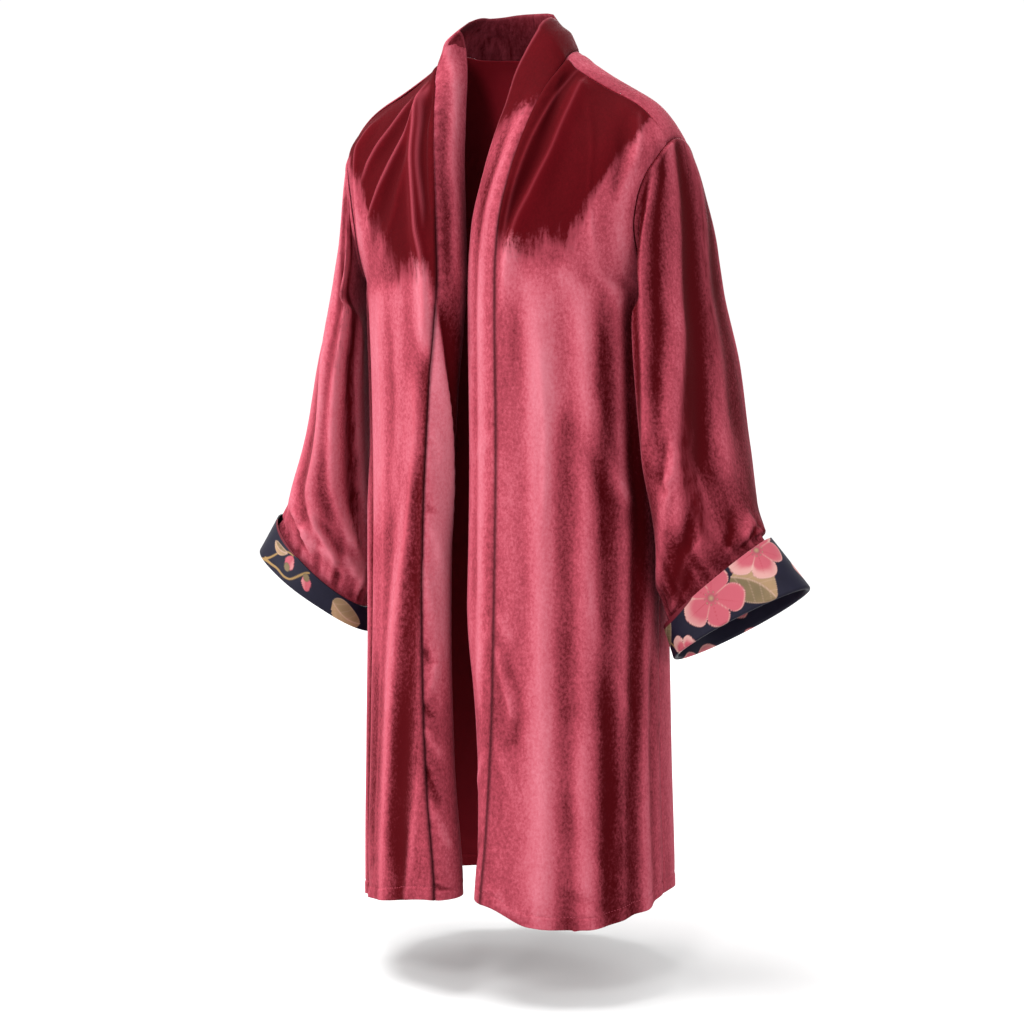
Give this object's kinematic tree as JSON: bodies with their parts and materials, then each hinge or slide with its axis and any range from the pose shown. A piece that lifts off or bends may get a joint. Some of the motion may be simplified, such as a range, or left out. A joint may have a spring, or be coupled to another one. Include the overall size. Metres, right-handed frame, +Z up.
{
  "type": "kimono robe",
  "caption": "Open-front velvet kimono robe in a worn, hollow form, with full sleeves, turned-back printed cuffs and a folded neckband.",
  "frame": {"origin": "between the neck points of the two shoulders, on the centre plane, level with the side neck, where a wearer holds the robe up", "axes": "+Z up, the open front faces -Y, +X is the wearer's left"},
  "size_m": [0.6576, 0.2888, 0.9894],
  "materials": {
    "velvet": "soft short-pile velvet, crimson with a rose sheen",
    "cuff_print": "smooth satin, navy with printed blossoms"
  },
  "bodies": {
    "root": {"front_left": "velvet", "front_right": "velvet", "back": "velvet", "sleeve_left": "velvet", "sleeve_right": "velvet", "cuff_left": "cuff_print", "cuff_right": "cuff_print", "neckband_left": "velvet", "neckband_right": "velvet"}
  },
  "joints": []
}
